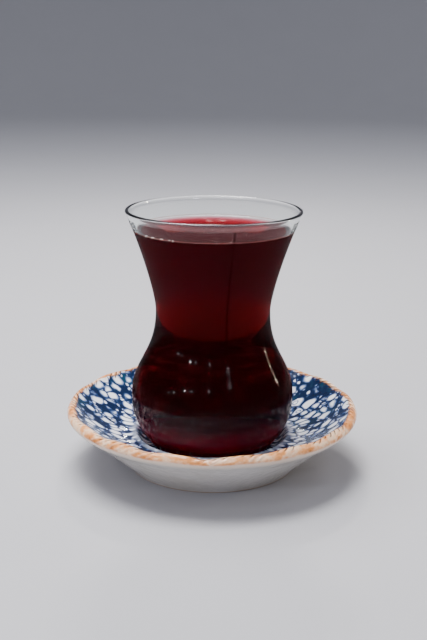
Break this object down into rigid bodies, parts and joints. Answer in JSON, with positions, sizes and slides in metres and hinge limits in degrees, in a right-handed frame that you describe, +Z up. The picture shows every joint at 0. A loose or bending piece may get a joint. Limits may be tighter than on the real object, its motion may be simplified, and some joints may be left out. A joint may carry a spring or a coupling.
{
  "type": "turkish tea glass",
  "caption": "Waisted tulip tea glass filled with black tea, standing in the well of a deep glazed saucer with a softly scalloped rim.",
  "frame": {"origin": "middle of the saucer's foot, on the surface that it stands on", "axes": "+Z up through the middle of the saucer and the glass; the front, with the rim's deepest scallop, faces -Y, and +X is to the right seen from the front"},
  "size_m": [0.1068, 0.1068, 0.0948],
  "materials": {
    "clear_glass": "polished",
    "black_tea": "polished",
    "glazed_stoneware": "gloss"
  },
  "bodies": {
    "root": {"glass": "clear_glass", "tea": "black_tea", "saucer": "glazed_stoneware"}
  },
  "joints": []
}
